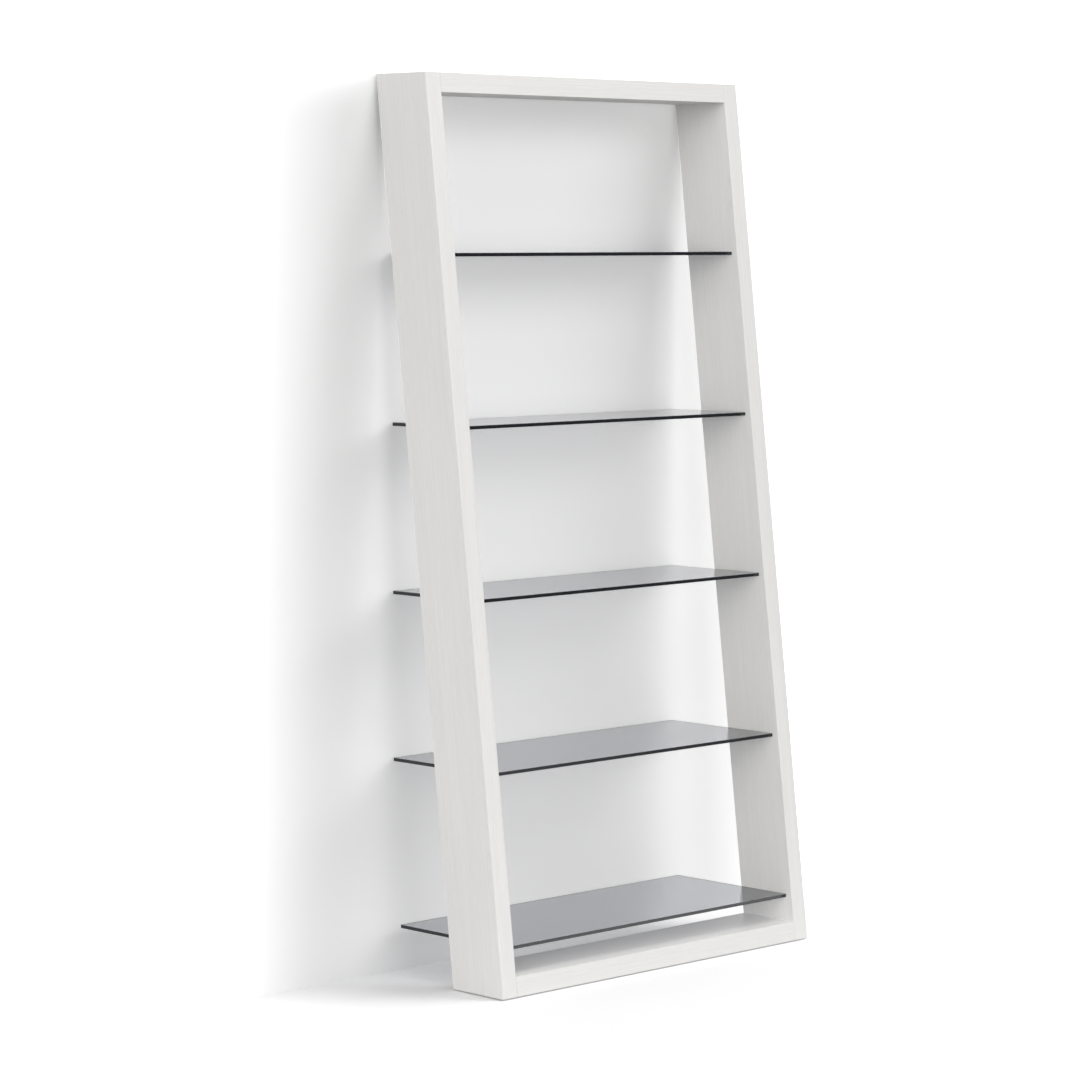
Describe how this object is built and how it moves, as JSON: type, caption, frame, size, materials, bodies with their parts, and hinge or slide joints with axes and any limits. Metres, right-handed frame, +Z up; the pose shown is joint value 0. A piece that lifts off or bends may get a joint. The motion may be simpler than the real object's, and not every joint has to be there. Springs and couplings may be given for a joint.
{
  "type": "leaning shelf",
  "caption": "Tall open shelf that leans on a wall: a white wooden frame of four boards carries level grey glass shelves that reach back to the wall.",
  "frame": {"origin": "middle of the footprint of the whole shelf, on the floor", "axes": "+Z up, +Y towards the wall that the shelf leans on, +X to the right of someone who faces the shelf"},
  "size_m": [1.004, 0.41, 2.032],
  "materials": {
    "white_ash": "satin white over fine straight grain",
    "grey_glass": "polished grey-tinted tempered glass",
    "clear_sleeve": "milky soft plastic",
    "beech": "plain turned beech",
    "zinc_steel": "zinc-plated steel",
    "cast_zinc": "bare die-cast zinc",
    "white_plastic": "satin moulded plastic",
    "black_nylon": "matt moulded nylon",
    "black_rubber": "matt rubber",
    "bracket_paint": "white powder coat",
    "clear_rubber": "milky soft rubber"
  },
  "bodies": {
    "frame": {"side_panel_left": "white_ash", "side_panel_right": "white_ash", "top_rail": "white_ash", "bottom_rail": "white_ash", "glass_shelf_1": "grey_glass", "glass_shelf_2": "grey_glass", "glass_shelf_3": "grey_glass", "glass_shelf_4": "grey_glass", "glass_shelf_5": "grey_glass", "shelf_sleeve_left_1": "clear_sleeve", "shelf_sleeve_right_1": "clear_sleeve", "shelf_sleeve_left_2": "clear_sleeve", "shelf_sleeve_right_2": "clear_sleeve", "shelf_sleeve_left_3": "clear_sleeve", "shelf_sleeve_right_3": "clear_sleeve", "shelf_sleeve_left_4": "clear_sleeve", "shelf_sleeve_right_4": "clear_sleeve", "shelf_sleeve_left_5": "clear_sleeve", "shelf_sleeve_right_5": "clear_sleeve", "top_dowels": "beech", "top_cam_bolts": "zinc_steel", "top_cam_locks": "cast_zinc", "top_cam_caps": "white_plastic", "bottom_dowels": "beech", "bottom_cam_bolts": "zinc_steel", "bottom_cam_locks": "cast_zinc", "bottom_cam_caps": "white_plastic", "foot_inserts": "zinc_steel", "wall_bracket_left": "bracket_paint", "wall_bracket_right": "bracket_paint", "bracket_screws": "zinc_steel", "wall_pad_left": "clear_rubber", "wall_pad_right": "clear_rubber"},
    "pad_front_left": {"foot_pad_front_left": "black_nylon", "foot_sole_front_left": "black_rubber"},
    "stem_front_left": {"foot_stem_front_left": "zinc_steel"},
    "pad_back_left": {"foot_pad_back_left": "black_nylon", "foot_sole_back_left": "black_rubber"},
    "stem_back_left": {"foot_stem_back_left": "zinc_steel"},
    "pad_front_right": {"foot_pad_front_right": "black_nylon", "foot_sole_front_right": "black_rubber"},
    "stem_front_right": {"foot_stem_front_right": "zinc_steel"},
    "pad_back_right": {"foot_pad_back_right": "black_nylon", "foot_sole_back_right": "black_rubber"},
    "stem_back_right": {"foot_stem_back_right": "zinc_steel"}
  },
  "joints": [
    {"name": "travel_front_left", "type": "slide", "parent": "frame", "child": "pad_front_left", "axis": [0, 0, -1], "range_m": [0, 0.01]},
    {"name": "turn_front_left", "type": "hinge", "parent": "pad_front_left", "child": "stem_front_left", "pos_m": [-0.48, -0.16961, 0.004], "axis": [0, 0, -1], "range_deg": [0, 2880]},
    {"name": "travel_back_left", "type": "slide", "parent": "frame", "child": "pad_back_left", "axis": [0, 0, -1], "range_m": [0, 0.01]},
    {"name": "turn_back_left", "type": "hinge", "parent": "pad_back_left", "child": "stem_back_left", "pos_m": [-0.48, -0.07944, 0.004], "axis": [0, 0, -1], "range_deg": [0, 2880]},
    {"name": "travel_front_right", "type": "slide", "parent": "frame", "child": "pad_front_right", "axis": [0, 0, -1], "range_m": [0, 0.01]},
    {"name": "turn_front_right", "type": "hinge", "parent": "pad_front_right", "child": "stem_front_right", "pos_m": [0.48, -0.16961, 0.004], "axis": [0, 0, -1], "range_deg": [0, 2880]},
    {"name": "travel_back_right", "type": "slide", "parent": "frame", "child": "pad_back_right", "axis": [0, 0, -1], "range_m": [0, 0.01]},
    {"name": "turn_back_right", "type": "hinge", "parent": "pad_back_right", "child": "stem_back_right", "pos_m": [0.48, -0.07944, 0.004], "axis": [0, 0, -1], "range_deg": [0, 2880]}
  ],
  "couplings": [
    {"joint": "travel_front_left", "follows": "turn_front_left", "m_per_rad": 0.00019894},
    {"joint": "travel_back_left", "follows": "turn_back_left", "m_per_rad": 0.00019894},
    {"joint": "travel_front_right", "follows": "turn_front_right", "m_per_rad": 0.00019894},
    {"joint": "travel_back_right", "follows": "turn_back_right", "m_per_rad": 0.00019894}
  ]
}
